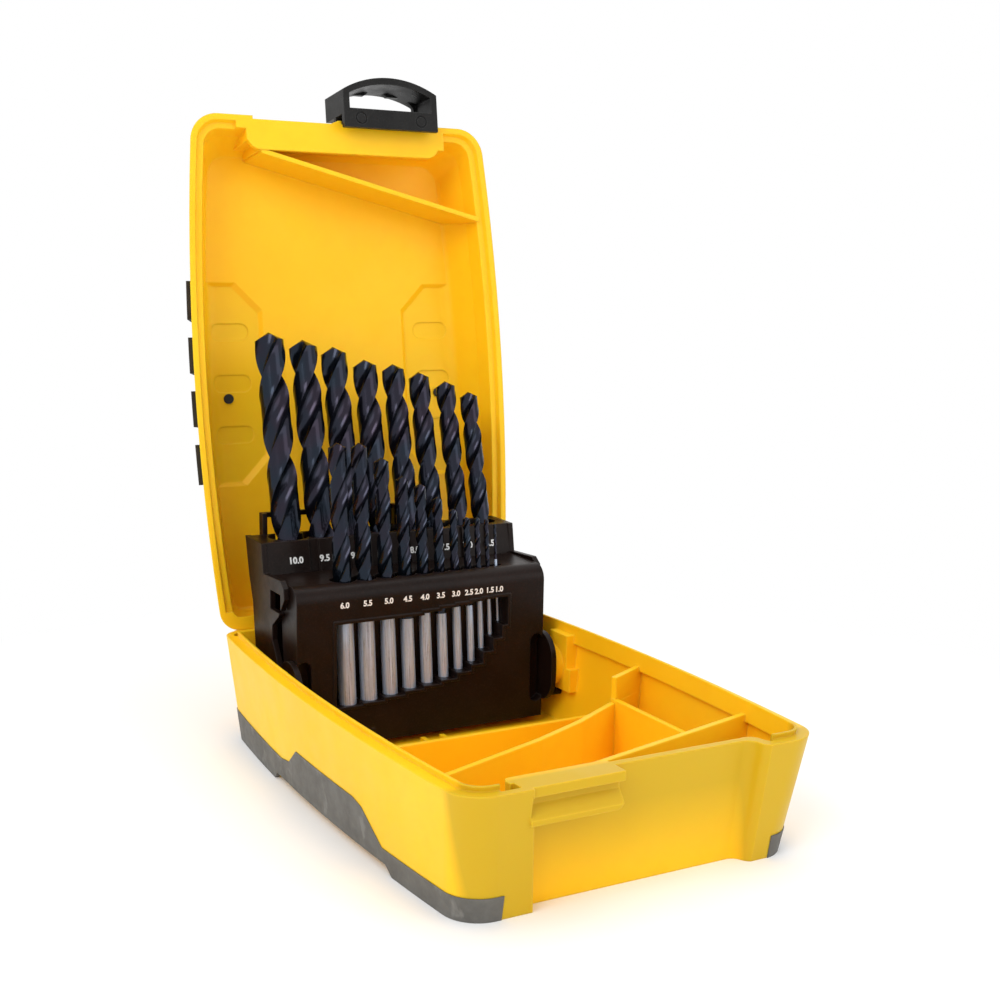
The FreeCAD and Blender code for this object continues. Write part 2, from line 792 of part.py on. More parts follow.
def rear_rows():
    rows = []
    for size, length, flute, x, tip in zip(rear_sizes, rear_lengths, rear_flutes, rear_places, rear_tips):
        foot = tip - length * math.cos(math.radians(rear_lean))
        rows.append((size, length, flute, rear_point(x, foot), lean_vector(rear_lean)))
    return rows


def front_rows():
    rows = []
    for size, length, flute, x, tip in zip(front_sizes, front_lengths, front_flutes, front_places, front_tips):
        foot = tip - length * math.cos(math.radians(front_lean))
        rows.append((size, length, flute, front_point(x, foot), lean_vector(front_lean)))
    return rows


def seat_bores(rows, clearance):
    bores = []
    for size, length, flute, foot, lean in rows:
        bores.append(Part.makeCylinder(size / 2 + clearance, length + far / 10, foot, lean))
    return bores


def make_rear_tray():
    top_front = rear_point(0, rear_top).y - rear_front_offset
    low_front = rear_point(0, tray_low).y - rear_front_offset + scallop_margin
    top_back = rear_point(0, rear_top).y + rear_back_offset
    low_back = rear_point(0, tray_low).y + rear_back_offset
    core = side_prism([(low_front, tray_low), (low_back, tray_low), (top_back, rear_top), (top_front, rear_top)],
                      -rear_half, rear_half)

    plates = []
    for side in (-1, 1):
        x0, x1 = sorted((side * plate_outer_x, side * (plate_outer_x - plate_thick)))
        plate = side_prism(plate_front_profile + [(low_back, tray_low)] + plate_back_profile, x0, x1)
        lobe_run = lobe_height - lobe_width
        lobe = joined([
            Part.makeCylinder(lobe_width / 2, plate_thick, V(x0, pivot_y, pivot_z + lobe_run / 2), along_x),
            Part.makeCylinder(lobe_width / 2, plate_thick, V(x0, pivot_y, pivot_z - lobe_run / 2), along_x),
            block(x0, x1, pivot_y - lobe_width / 2, pivot_y + lobe_width / 2, pivot_z - lobe_run / 2,
                  pivot_z + lobe_run / 2),
        ])
        slot = block(x0 - overrun, x1 + overrun, plate_slot_front, plate_slot_back,
                     plate_slot_low, plate_slot_high)
        pin = Part.makeCylinder(pivot_radius, pivot_reach - plate_outer_x + plate_thick,
                                V(side * (plate_outer_x - plate_thick), pivot_y, pivot_z), V(side, 0, 0))
        peg_z = lower_pad_low - stop_peg_radius - stop_peg_gap
        peg = Part.makeCylinder(stop_peg_radius, pivot_reach - plate_outer_x + plate_thick,
                                V(side * (plate_outer_x - plate_thick), stop_peg_y, peg_z), V(side, 0, 0))
        plates.append(joined([plate.cut(slot), lobe, pin, peg]))

    tray = joined([core] + plates)
    rows = rear_rows()
    for size, length, flute, foot, lean in rows:
        start = foot + lean * ((rear_top - scallop_depth - foot.z) / lean.z)
        tray = tray.cut(Part.makeCylinder(size / 2 + scallop_margin, far, start, lean))
    for x_a, x_b in zip(rear_places, rear_places[1:]):
        middle = (x_a + x_b) / 2
        low = rear_point(0, rear_top - rear_groove_height).y - rear_front_offset
        foot_z = rear_top - rear_groove_height
        head_z = rear_top + overrun
        groove = side_prism([(low - overrun, foot_z), (low + rear_groove_depth, foot_z),
                             (top_front + rear_groove_depth, head_z), (top_front - overrun, head_z)],
                            middle - rear_groove_width / 2, middle + rear_groove_width / 2)
        tray = tray.cut(groove)
    for bore in seat_bores(rows, seat_clearance):
        tray = tray.cut(bore)

    half = bar_thick / 2
    posts = []
    for x in (bar_left, bar_right):
        posts.append(block(x - half, x + half, bar_post_front, bar_y, rear_top - overrun, bar_z))
    rail = block(bar_left - half, bar_right + half, bar_y - bar_thick, bar_y, bar_z - bar_thick, bar_z)
    tray = joined([tray, rail] + posts)
    return tray.removeSplitter()


def window_prism(grow, y0, y1):
    """The stepped window of the front tray, its steps halfway between the drills."""
    middles = [(a + b) / 2 for a, b in zip(front_places, front_places[1:])]
    lefts = [window_left] + middles
    rights = middles + [window_right]
    cells = []
    for x0, x1, z0, z1 in zip(lefts, rights, window_bottoms, window_tops):
        cells.append(block(x0 - grow, x1 + grow, y0, y1, z0 - grow, z1 + grow))
    return joined(cells)


def make_front_tray():
    half = front_tray_half
    roll_z = front_tray_top - front_roll
    body = side_prism([(front_face_y, tray_low), (front_back_low_y, tray_low), (front_back_high_y, roll_z),
                       (front_back_high_y, front_tray_top), (front_face_y, front_tray_top)], -half, half)
    brow = [e for e in body.Edges if abs(e.BoundBox.YMin - front_face_y) < seam / 10 and e.BoundBox.YLength < seam
            and abs(e.BoundBox.ZMin - front_tray_top) < seam and abs(e.BoundBox.ZMax - front_tray_top) < seam]
    body = body.makeFillet(front_roll, brow)
    deck = block(-half, half, front_back_high_y - overrun, deck_back_y,
                 front_tray_top - deck_thick, front_tray_top)
    frame = window_prism(window_frame, front_face_y - window_frame_proud, front_face_y + window_frame_proud)
    tray = joined([body, deck, frame])
    tray = tray.cut(window_prism(0, front_face_y - overrun, front_face_y + window_depth))
    for side in (-1, 1):
        x = side * lobe_notch_x
        z0 = lobe_notch_low + lobe_notch_radius
        z1 = lobe_notch_high - lobe_notch_radius
        r = lobe_notch_radius
        y0 = front_face_y - overrun
        y1 = front_face_y + lobe_notch_depth
        notch = joined([
            Part.makeCylinder(r, y1 - y0, V(x, y0, z0), V(0, 1, 0)),
            Part.makeCylinder(r, y1 - y0, V(x, y0, z1), V(0, 1, 0)),
            block(x - r, x + r, y0, y1, z0, z1),
        ])
        tray = tray.cut(notch)
    rows = front_rows()
    for size, length, flute, foot, lean in rows:
        start = foot + lean * ((front_tray_top - front_scallop_depth - foot.z) / lean.z)
        tray = tray.cut(Part.makeCylinder(size / 2 + front_scallop_margin, far, start, lean))
    for bore in seat_bores(rows, seat_clearance):
        tray = tray.cut(bore)
    return tray.removeSplitter()


def flute_section(radius, z, turn, depth):
    """Two lands on the circle and two flutes; depth runs from 0, a whole circle, to 1."""
    land = math.radians(land_angle)
    low = radius * (1 - (1 - web_share) * depth)
    corners = []
    for angle in (-land, land, math.pi - land, math.pi + land):
        corners.append((radius * math.cos(angle), radius * math.sin(angle)))
    mids = [(radius, 0), (0, low), (-radius, 0), (0, -low)]

    def place(p):
        c = math.cos(turn)
        s = math.sin(turn)
        return V(p[0] * c - p[1] * s, p[0] * s + p[1] * c, z)

    edges = []
    for i in range(4):
        edges.append(arc(place(corners[i]), place(mids[i]), place(corners[(i + 1) % 4])))
    return Part.Wire(edges)


def make_drill(size, length, flute, foot, lean, phase_share, helix):
    """A twist drill; seen from the view turn, its first waist lies a share of half a pitch below the tip."""
    radius = size / 2
    pitch = math.pi * size / math.tan(math.radians(helix))
    start = length - flute
    first_turn = math.radians(view_turn) - 2 * math.pi * (flute - phase_share * pitch / 2) / pitch
    steps = max(4, round(flute / pitch * 360 / twist_step))
    runout = size * runout_share
    wires = []
    for i in range(steps + 1):
        z = start + flute * i / steps
        depth = min(1, (z - start) / runout)
        wires.append(flute_section(radius, z, first_turn + 2 * math.pi * (z - start) / pitch, depth))
    body = Part.makeLoft(wires, True, False)
    shank = Part.makeCylinder(radius, start)
    drill = shank.fuse(body)
    tip = radius / math.tan(math.radians(point_angle / 2))
    cone = Part.makeCone(radius * 2, 0, 2 * tip, V(0, 0, length - 2 * tip))
    keep = Part.makeCylinder(radius * 3, length - 2 * tip).fuse(cone)
    drill = drill.common(keep)
    turn = FreeCAD.Rotation(V(0, 0, 1), lean)
    drill.Placement = FreeCAD.Placement(foot, turn)
    return drill


def make_film():
    """A wedge of the folded living hinge between the back faces of base and lid."""
    radius = film_radius
    centre = V(-film_half_length, back_y, rim_z)
    a = V(-film_half_length, back_y, rim_z - radius)
    end = math.radians(90 - open_angle)
    mid = (math.radians(-90) + end) / 2
    b = V(-film_half_length, back_y + radius * math.cos(mid), rim_z + radius * math.sin(mid))
    c = V(-film_half_length, back_y + radius * math.cos(end), rim_z + radius * math.sin(end))
    face = Part.Face(Part.Wire([line(centre, a), arc(a, b, c), line(c, centre)]))
    return face.extrude(V(2 * film_half_length, 0, 0))


def save(name, shape):
    solids = shape.Solids
    out = solids[0] if len(solids) == 1 else Part.makeCompound(solids)
    print(name, len(solids), shape.isValid(), round(shape.Volume, 1), shape.BoundBox)
    out.exportStep("parts/" + name + ".step")


def main():
    os.makedirs("parts", exist_ok=True)
    base, bumper_left, bumper_right = make_base()
    save("base_shell", base)
    save("base_bumper_left", bumper_left)
    save("base_bumper_right", bumper_right)
    save("lid_shell", opened(make_lid()))
    save("lid_grip_left", opened(make_grip(-1)))
    save("lid_grip_right", opened(make_grip(1)))
    save("latch_handle", opened(make_latch()))
    save("hinge_film", make_film())
    save("holder_rear_tray", make_rear_tray())
    save("holder_front_tray", make_front_tray())
    turns = [(share, helix_angle) for share in rear_phase_shares]
    turns += [(share, front_helix_angle) for share in front_phase_shares]
    for row, turn in zip(rear_rows() + front_rows(), turns):
        name = "drill_" + str(row[0]).replace(".", "_")
        save(name, make_drill(*row, *turn))


main()
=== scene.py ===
import bpy
import bmesh
import math
from mathutils import Matrix, Vector


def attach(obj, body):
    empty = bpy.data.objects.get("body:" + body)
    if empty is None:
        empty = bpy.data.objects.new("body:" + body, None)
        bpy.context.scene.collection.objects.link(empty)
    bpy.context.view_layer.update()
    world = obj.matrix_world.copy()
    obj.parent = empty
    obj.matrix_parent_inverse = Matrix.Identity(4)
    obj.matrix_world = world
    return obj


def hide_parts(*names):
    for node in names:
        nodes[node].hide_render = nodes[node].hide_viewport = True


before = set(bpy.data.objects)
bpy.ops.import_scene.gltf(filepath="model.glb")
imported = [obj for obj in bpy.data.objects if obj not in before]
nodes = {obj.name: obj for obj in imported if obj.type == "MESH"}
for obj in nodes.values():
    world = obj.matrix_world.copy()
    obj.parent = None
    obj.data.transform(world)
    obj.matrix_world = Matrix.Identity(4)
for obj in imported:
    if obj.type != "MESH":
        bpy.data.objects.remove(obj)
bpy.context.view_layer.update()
MM = 0.001          # the lengths below that stand with MM are in millimetres, all others in metres


# ---------- node helpers ----------

class Maker:
    """Builds one procedural material around a Principled shader."""

    def __init__(self, name):
        self.mat = bpy.data.materials.new(name)
        self.mat.use_nodes = True
        self.tree = self.mat.node_tree
        self.tree.nodes.clear()
        self.out = self.node("ShaderNodeOutputMaterial")
        self.bsdf = self.node("ShaderNodeBsdfPrincipled")
        self.link(self.bsdf.outputs[0], self.out.inputs[0])
        self.coord = self.node("ShaderNodeTexCoord").outputs["Object"]

    def node(self, kind):
        return self.tree.nodes.new(kind)

    def link(self, a, b):
        self.tree.links.new(a, b)

    def put(self, socket, value):
        if isinstance(value, bpy.types.NodeSocket):
            self.link(value, socket)
        else:
            socket.default_value = value

    def set(self, **values):
        """Sets inputs of the Principled shader by name, with _ for each space."""
        for key, value in values.items():
            self.put(self.bsdf.inputs[key.replace("_", " ")], value)

    def scaled(self, x, y, z):
        n = self.node("ShaderNodeMapping")
        n.inputs["Scale"].default_value = (x, y, z)
        self.link(self.coord, n.inputs["Vector"])
        return n.outputs[0]

    def noise(self, scale, detail=3.0, rough=0.55, vector=None, distortion=0.0):
        """Noise in the piece's own coordinates, so that it moves with the piece."""
        n = self.node("ShaderNodeTexNoise")
        n.inputs["Scale"].default_value = scale
        n.inputs["Detail"].default_value = detail
        n.inputs["Roughness"].default_value = rough
        n.inputs["Distortion"].default_value = distortion
        self.link(vector or self.coord, n.inputs["Vector"])
        return n.outputs["Fac"]

    def span(self, value, a, b, c=0.0, d=1.0):
        """The value's range a to b, mapped to c to d and clamped."""
        n = self.node("ShaderNodeMapRange")
        n.clamp = True
        self.link(value, n.inputs["Value"])
        for key, v in zip(("From Min", "From Max", "To Min", "To Max"), (a, b, c, d)):
            n.inputs[key].default_value = v
        return n.outputs[0]

    def mix(self, fac, a, b):
        """Colour a where the factor is 0, colour b where it is 1."""
        n = self.node("ShaderNodeMix")
        n.data_type = "RGBA"
        self.put(n.inputs[0], fac)
        for socket, v in ((n.inputs[6], a), (n.inputs[7], b)):
            self.put(socket, v if isinstance(v, bpy.types.NodeSocket) else (*v, 1.0))
        return n.outputs[2]

    def math(self, how, a, b):
        n = self.node("ShaderNodeMath")
        n.operation = how
        self.put(n.inputs[0], a)
        self.put(n.inputs[1], b)
        return n.outputs[0]

    def soft_edges(self, radius):
        """A rounded normal along the edges, and a mask that is 1 on them."""
        n = self.node("ShaderNodeBevel")
        n.samples = 4
        n.inputs["Radius"].default_value = radius
        geo = self.node("ShaderNodeNewGeometry")
        dot = self.node("ShaderNodeVectorMath")
        dot.operation = "DOT_PRODUCT"
        self.link(n.outputs[0], dot.inputs[0])
        self.link(geo.outputs["Normal"], dot.inputs[1])
        return n.outputs[0], self.span(dot.outputs["Value"], 0.995, 0.80)

    def bump(self, height, distance, strength, normal=None):
        n = self.node("ShaderNodeBump")
        n.inputs["Strength"].default_value = strength
        n.inputs["Distance"].default_value = distance
        self.link(height, n.inputs["Height"])
        if normal is not None:
            self.link(normal, n.inputs["Normal"])
        return n.outputs[0]


# ---------- materials ----------

FRONT_SHADE_Y = (-0.0765, -0.0795)    # the painted shade, a darker and greener tone, starts and is full here, on the outside of the front


def yellow_plastic(name, front):
    """Satin translucent yellow, a little paler along its edges as wear and a painted highlight, with
    painted shade, darker and greener, on the outside of the front.
    """
    m = Maker(name)
    normal, edge = m.soft_edges(0.0007)
    tone = m.span(m.noise(14.0, 2.0), 0.35, 0.65)
    base = m.mix(tone, (0.96, 0.53, 0.006), (0.98, 0.58, 0.011))
    base = m.mix(m.span(m.noise(160.0, 4.0), 0.45, 0.75, 0.0, 0.35), base, (0.94, 0.50, 0.006))
    if front:
        # painted shade: the outside of the front is turned darker and greener
        parts = m.node("ShaderNodeSeparateXYZ")
        m.link(m.coord, parts.inputs[0])
        front_shade_mask = m.span(parts.outputs["Y"], *FRONT_SHADE_Y)
        front_shade_colour = m.mix(tone, (0.60, 0.375, 0.009), (0.63, 0.400, 0.012))
        base = m.mix(front_shade_mask, base, front_shade_colour)
    # paler edges: wear and a painted highlight along them
    base = m.mix(m.math("MULTIPLY", edge, 0.55), base, (1.0, 0.66, 0.040))
    m.set(Base_Color=base, IOR=1.49, Specular_IOR_Level=0.22)
    m.set(Roughness=m.span(m.noise(90.0, 5.0), 0.3, 0.7, 0.34, 0.46))
    m.set(Subsurface_Weight=0.3, Subsurface_Radius=(1.0, 0.50, 0.05), Subsurface_Scale=0.002)
    m.set(Normal=m.bump(m.noise(2600.0, 2.0), 0.00002, 0.5, normal))
    return m.mat


def rubber(name, dark, light, scuff):
    """Matte mottled rubber with pale scuffs across it; scuff is their strength."""
    m = Maker(name)
    normal, edge = m.soft_edges(0.0005)
    mottle = m.span(m.noise(120.0, 6.0, 0.65), 0.35, 0.68)
    base = m.mix(mottle, dark, light)
    lines = m.noise(30.0, 3.0, 0.5, m.scaled(1.0, 9.0, 5.0), 0.4)
    base = m.mix(m.span(lines, 0.60, 0.70, 0.0, scuff), base, tuple(c * 1.8 + 0.02 for c in light))
    # paler edges: wear and a painted highlight along them
    base = m.mix(m.math("MULTIPLY", edge, 0.30), base, tuple(c * 1.9 + 0.01 for c in light))
    m.set(Base_Color=base, Specular_IOR_Level=0.35)
    m.set(Roughness=m.span(m.noise(300.0, 4.0), 0.3, 0.7, 0.58, 0.78))
    m.set(Normal=m.bump(m.noise(3500.0, 3.0), 0.00004, 0.6, normal))
    return m.mat


def black_plastic(name, dark, light, rough, grain, edge_wear_and_highlight, shine):
    """Moulded black plastic with a fine sandy grain and paler edges, which are wear and a painted
    highlight.
    """
    m = Maker(name)
    normal, edge = m.soft_edges(0.0005)
    base = m.mix(m.span(m.noise(60.0, 4.0), 0.35, 0.65), dark, light)
    sand = m.noise(grain, 2.0, 0.7)
    base = m.mix(m.span(sand, 0.52, 0.72, 0.0, 0.5), base, tuple(c * 2.4 + 0.004 for c in light))
    # paler edges: wear and a painted highlight along them
    base = m.mix(m.math("MULTIPLY", edge, 0.5), base, edge_wear_and_highlight)
    m.set(Base_Color=base, Specular_IOR_Level=shine)
    m.set(Roughness=m.span(m.noise(200.0, 4.0), 0.3, 0.7, rough - 0.06, rough + 0.08))
    m.set(Normal=m.bump(sand, 0.00005, 0.5, normal))
    return m.mat


def oxide_steel():
    """Black oxide on ground steel, with a painted sheen: plum where it faces the viewer, darker blue at the
    edges; teal in patches.
    """
    m = Maker("drill_oxide")
    # painted sheen: the colour follows how far the surface faces the viewer
    facing = m.node("ShaderNodeLayerWeight")
    facing.inputs["Blend"].default_value = 0.45
    painted_sheen_falloff = m.span(facing.outputs["Facing"], 0.15, 0.85)
    tone = m.mix(painted_sheen_falloff, (0.026, 0.021, 0.033), (0.003, 0.008, 0.015))
    tint = m.span(m.noise(70.0, 2.0), 0.40, 0.62)
    tone = m.mix(m.math("MULTIPLY", tint, 0.45), tone, (0.005, 0.027, 0.040))
    m.set(Base_Color=tone, Metallic=0.85)
    fine = m.noise(900.0, 2.0, 0.6, m.scaled(4.0, 4.0, 0.6))
    m.set(Roughness=m.span(fine, 0.3, 0.7, 0.14, 0.24))
    m.set(Normal=m.bump(fine, 0.00002, 0.4))
    return m.mat


def bright_steel():
    """Ground steel shanks with fine streaks along them."""
    m = Maker("drill_shank")
    streak = m.noise(700.0, 4.0, 0.6, m.scaled(5.0, 5.0, 0.12))
    spots = m.noise(1400.0, 3.0, 0.7, m.scaled(1.0, 1.0, 0.5))
    base = m.mix(m.span(streak, 0.35, 0.65), (0.30, 0.35, 0.44), (0.48, 0.56, 0.69))
    base = m.mix(m.span(spots, 0.55, 0.75, 0.0, 0.4), base, (0.20, 0.23, 0.28))
    m.set(Base_Color=base, Metallic=0.55)
    m.set(Roughness=m.span(streak, 0.3, 0.7, 0.24, 0.42))
    m.set(Normal=m.bump(streak, 0.00003, 0.5))
    return m.mat


def white_ink():
    """The slightly uneven white of the printed numbers."""
    m = Maker("label_ink")
    base = m.mix(m.span(m.noise(1500.0, 3.0), 0.35, 0.65), (0.72, 0.71, 0.69), (0.86, 0.86, 0.85))
    m.set(Base_Color=base, Roughness=m.span(m.noise(900.0), 0.3, 0.7, 0.45, 0.6))
    return m.mat


# the base's copy carries the painted shade on the outside of its front
base_plastic = yellow_plastic("case_plastic_base", front=True)
lid_plastic = yellow_plastic("case_plastic_lid", front=False)
bumper_rubber = rubber("bumper_rubber", (0.105, 0.100, 0.090), (0.150, 0.145, 0.133), scuff=0.35)
grip_rubber = rubber("grip_rubber", (0.016, 0.0155, 0.015), (0.026, 0.025, 0.024), scuff=0.15)
latch_plastic = black_plastic("latch_plastic", dark=(0.009, 0.0088, 0.0086), light=(0.013, 0.0127, 0.0123),
                              rough=0.30, grain=2400.0, edge_wear_and_highlight=(0.085, 0.085, 0.085), shine=0.10)
holder_plastic = black_plastic("holder_plastic", dark=(0.006, 0.0028, 0.002), light=(0.01, 0.0048, 0.0034),
                               rough=0.34, grain=2200.0, edge_wear_and_highlight=(0.045, 0.036, 0.033), shine=0.13)
drill_oxide = oxide_steel()
drill_shank = bright_steel()
label_ink = white_ink()

finishes = {
    "base_shell": base_plastic, "lid_shell": lid_plastic, "hinge_film": lid_plastic,
    "base_bumper_left": bumper_rubber, "base_bumper_right": bumper_rubber,
    "lid_grip_left": grip_rubber, "lid_grip_right": grip_rubber,
    "latch_handle": latch_plastic,
    "holder_rear_tray": holder_plastic, "holder_front_tray": holder_plastic,
}
for name, finish in finishes.items():
    nodes[name].data.materials.clear()
    nodes[name].data.materials.append(finish)


# ---------- meshes ----------

def add_object(name, mesh, materials):
    """Puts a mesh into the scene with its materials."""
    obj = bpy.data.objects.new(name, mesh)
    bpy.context.scene.collection.objects.link(obj)
    for material in materials:
        mesh.materials.append(material)
    return obj


def smooth_by_angle(mesh, degrees):
    for p in mesh.polygons:
        p.use_smooth = True
    mesh.set_sharp_from_angle(angle=math.radians(degrees))


# ---------- drills ----------
# Lengths are in millimetres. A place is the drill's X and a tip is the Z of its point. A phase is the share
# of half a pitch below the point at which the drill looks narrowest to the camera.

rear_sizes = [10.0, 9.5, 9.0, 8.5, 8.0, 7.5, 7.0, 6.5]
rear_lengths = [133.0, 125.0, 125.0, 117.0, 117.0, 109.0, 109.0, 101.0]
rear_flutes = [87.0, 81.0, 81.0, 75.0, 75.0, 69.0, 69.0, 63.0]
rear_places = [-34.5, -22.6, -11.7, -0.5, 10.2, 19.9, 30.1, 39.0]
rear_tips = [134.7, 132.1, 129.6, 125.1, 123.4, 120.4, 117.0, 113.0]
rear_phases = [0.595, 0.48, 0.617, 0.606, 0.546, 0.657, 0.593, 0.65]
front_sizes = [6.0, 5.5, 5.0, 4.5, 4.0, 3.5, 3.0, 2.5, 2.0, 1.5, 1.0]
front_lengths = [93.0, 93.0, 86.0, 80.0, 75.0, 70.0, 61.0, 57.0, 49.0, 40.0, 34.0]
front_flutes = [57.0, 57.0, 52.0, 47.0, 43.0, 39.0, 33.0, 30.0, 24.0, 18.0, 12.0]
front_places = [-26.2, -18.6, -10.9, -3.9, 2.7, 8.9, 14.6, 19.6, 23.6, 27.2, 30.4]
front_tips = [101.6, 101.2, 96.0, 89.6, 86.8, 82.0, 77.7, 74.6, 74.2, 73.4, 71.4]
front_phases = [0.667, 0.63, 0.70, 0.72, 0.74, 0.72, 0.70, 0.66, 0.70, 0.62, 0.66]
REAR_LEAN = math.radians(14.3)     # the rows lean back from upright
FRONT_LEAN = math.radians(5.9)
REAR_SEAT = (75.9, 60.0)           # Y and Z of a point on each axis of the row
FRONT_SEAT = (48.5, 30.0)
REAR_HELIX = 30.0                  # degrees
FRONT_HELIX = 28.0
VIEW_TURN = math.radians(60.7)     # turn of the lands at which a drill looks narrowest
WEB_SHARE = 0.30                   # thickness of the core between the flutes, of the diameter
LAND = math.radians(42.0)          # half the angle of a land
MARGIN = math.radians(13.0)        # the raised edge of a land
LAND_RELIEF = 0.035                # the rest of the land lies lower, of the radius
RELIEF_START = 0.12                # radians over which it falls to that
RUNOUT = 1.6                       # the flute runs out over this many diameters
POINT = math.radians(59.0)         # half the point angle
RING_STEP = 6 / 360                # turn between two rings of a flute
SHANK_RINGS = 4
CONE_SHARES = (1.0, 0.8, 0.6, 0.4, 0.2)
FINE_COUNT, COARSE_COUNT, FINE_FROM = 48, 36, 4    # points of a section, for drills over 4 mm and the rest


def section(radius, depth, count):
    """One turn of a drill's cross-section as (x, y): two lands with a raised margin, and two flutes."""
    low = radius * (1 - (1 - WEB_SHARE) * depth)
    cx = radius * math.cos(LAND)
    cy = radius * math.sin(LAND)
    sag = cy - low
    half = []
    lands = count // 2 - count // 4
    for i in range(lands):
        a = -LAND + 2 * LAND * i / lands
        relief = LAND_RELIEF * depth if a < LAND - MARGIN else 0.0
        r = radius * (1 - relief * min(1.0, (a + LAND) / RELIEF_START))
        half.append((r * math.cos(a), r * math.sin(a)))
    flutes = count // 2 - lands
    for i in range(flutes):
        x = cx * math.cos(math.pi * i / flutes)
        if abs(sag) < radius * 1e-4:
            y = cy
        else:
            bend = (cx * cx + sag * sag) / (2 * sag)
            root = math.sqrt(max(bend * bend - x * x, 0.0))
            y = low + bend - root if bend > 0 else low + bend + root
        half.append((x, y))
    return half + [(-x, -y) for x, y in half]


def drill_mesh(name, size, length, flute, phase, helix, count):
    """A drill along Z from its foot at the origin, with a round shank, two flutes and a conical point."""
    radius = size / 2
    start = length - flute
    pitch = math.pi * size / math.tan(math.radians(helix))
    narrow = length - phase * pitch / 2
    turn0 = VIEW_TURN - 2 * math.pi * (narrow - start) / pitch
    slope = 1 / math.tan(POINT)
    bm = bmesh.new()
    rings = []

    def ring(z, depth, shrink=1.0, cone=False):
        turn = turn0 + 2 * math.pi * (max(z, start) - start) / pitch
        verts = []
        for x, y in section(radius, depth, count):
            r = math.hypot(x, y)
            a = math.atan2(y, x)
            h = z
            if cone:
                h = length - r * shrink * slope
                turn = turn0 + 2 * math.pi * (length - r * slope - start) / pitch
            spot = Vector((r * shrink * math.cos(a + turn), r * shrink * math.sin(a + turn), h))
            verts.append(bm.verts.new(spot * MM))
        rings.append(verts)

    chamfer = min(0.5, radius * 0.3)
    ring(0.0, 0.0, (radius - chamfer) / radius)
    ring(chamfer, 0.0)
    for i in range(1, SHANK_RINGS + 1):
        ring(chamfer + (start - chamfer) * i / SHANK_RINGS, 0.0)
    body_end = length - radius * slope - pitch * 5 / 360
    steps = max(12, int((body_end - start) / (pitch * RING_STEP)))
    for i in range(1, steps + 1):
        z = start + (body_end - start) * i / steps
        t = min(1.0, (z - start) / (size * RUNOUT))
        ring(z, math.sin(t * math.pi / 2))
    for shrink in CONE_SHARES:
        ring(length, 1.0, shrink, True)
    tip = bm.verts.new((0, 0, length * MM))
    foot = bm.verts.new((0, 0, 0))
    for k, (a, b) in enumerate(zip(rings, rings[1:])):
        for i in range(count):
            j = (i + 1) % count
            f = bm.faces.new((a[i], a[j], b[j], b[i]))
            f.material_index = 1 if k <= SHANK_RINGS else 0
    last = rings[-1]
    for i in range(count):
        bm.faces.new((last[i], last[(i + 1) % count], tip))
        f = bm.faces.new((rings[0][(i + 1) % count], rings[0][i], foot))
        f.material_index = 1
    mesh = bpy.data.meshes.new(name)
    bm.to_mesh(mesh)
    bm.free()
    smooth_by_angle(mesh, 32)
    return mesh


def place_drill(size, length, flute, x, tip_z, phase, lean, seat, helix):
    """Makes one drill and stands it in its row, in place of the CAD's drill of this size."""
    label = str(size).replace(".", "_")
    count = FINE_COUNT if size > FINE_FROM else COARSE_COUNT
    mesh = drill_mesh("twist_drill_" + label, size, length, flute, phase, helix, count)
    obj = add_object("twist_drill_" + label, mesh, [drill_oxide, drill_shank])
    foot_z = tip_z - length * math.cos(lean)
    foot = Vector((x, seat[0] + (foot_z - seat[1]) * math.tan(lean), foot_z)) * MM
    obj.matrix_world = Matrix.Translation(foot) @ Matrix.Rotation(-lean, 4, "X")
    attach(obj, "holder")
    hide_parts("drill_" + label)


for row in zip(rear_sizes, rear_lengths, rear_flutes, rear_places, rear_tips, rear_phases):
    place_drill(*row, REAR_LEAN, REAR_SEAT, REAR_HELIX)
for row in zip(front_sizes, front_lengths, front_flutes, front_places, front_tips, front_phases):
    place_drill(*row, FRONT_LEAN, FRONT_SEAT, FRONT_HELIX)


# ---------- size numbers on the holder ----------

CAP_SHARE = 0.70           # height of a figure, of the font's size
BOLDER = 0.045             # outlines grow by this share of the height
INK_THICK = 0.06
REAR_FIGURE, FRONT_FIGURE = 2.1, 1.8
REAR_LABEL_Z = 61.4
REAR_FACE_OUT = 8.0        # the face of the rear tier stands this far in front of the drills' axes
FRONT_LABEL_Y, FRONT_LABEL_Z = 43.5, 50.9


def number(size, height, x, y, z, tilt):
    """One drill size as a thin raised print on the holder."""
    name = "number_" + str(size).replace(".", "_")
    curve = bpy.data.curves.new(name, "FONT")
    curve.body = str(size)
    curve.size = height * MM / CAP_SHARE
    curve.align_x = "CENTER"
    curve.align_y = "CENTER"
    curve.offset = height * MM * BOLDER
    curve.extrude = INK_THICK * MM
    curve.resolution_u = 3
    maker = bpy.data.objects.new(name + "_curve", curve)
    bpy.context.scene.collection.objects.link(maker)
    bpy.context.view_layer.update()
    solid = maker.evaluated_get(bpy.context.evaluated_depsgraph_get())
    mesh = bpy.data.meshes.new_from_object(solid)
    mesh.name = name
    mesh.materials.clear()
    bpy.data.objects.remove(maker)
    obj = add_object(name, mesh, [label_ink])
    obj.matrix_world = Matrix.Translation(Vector((x, y, z)) * MM) @ Matrix.Rotation(tilt, 4, "X")
    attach(obj, "holder")


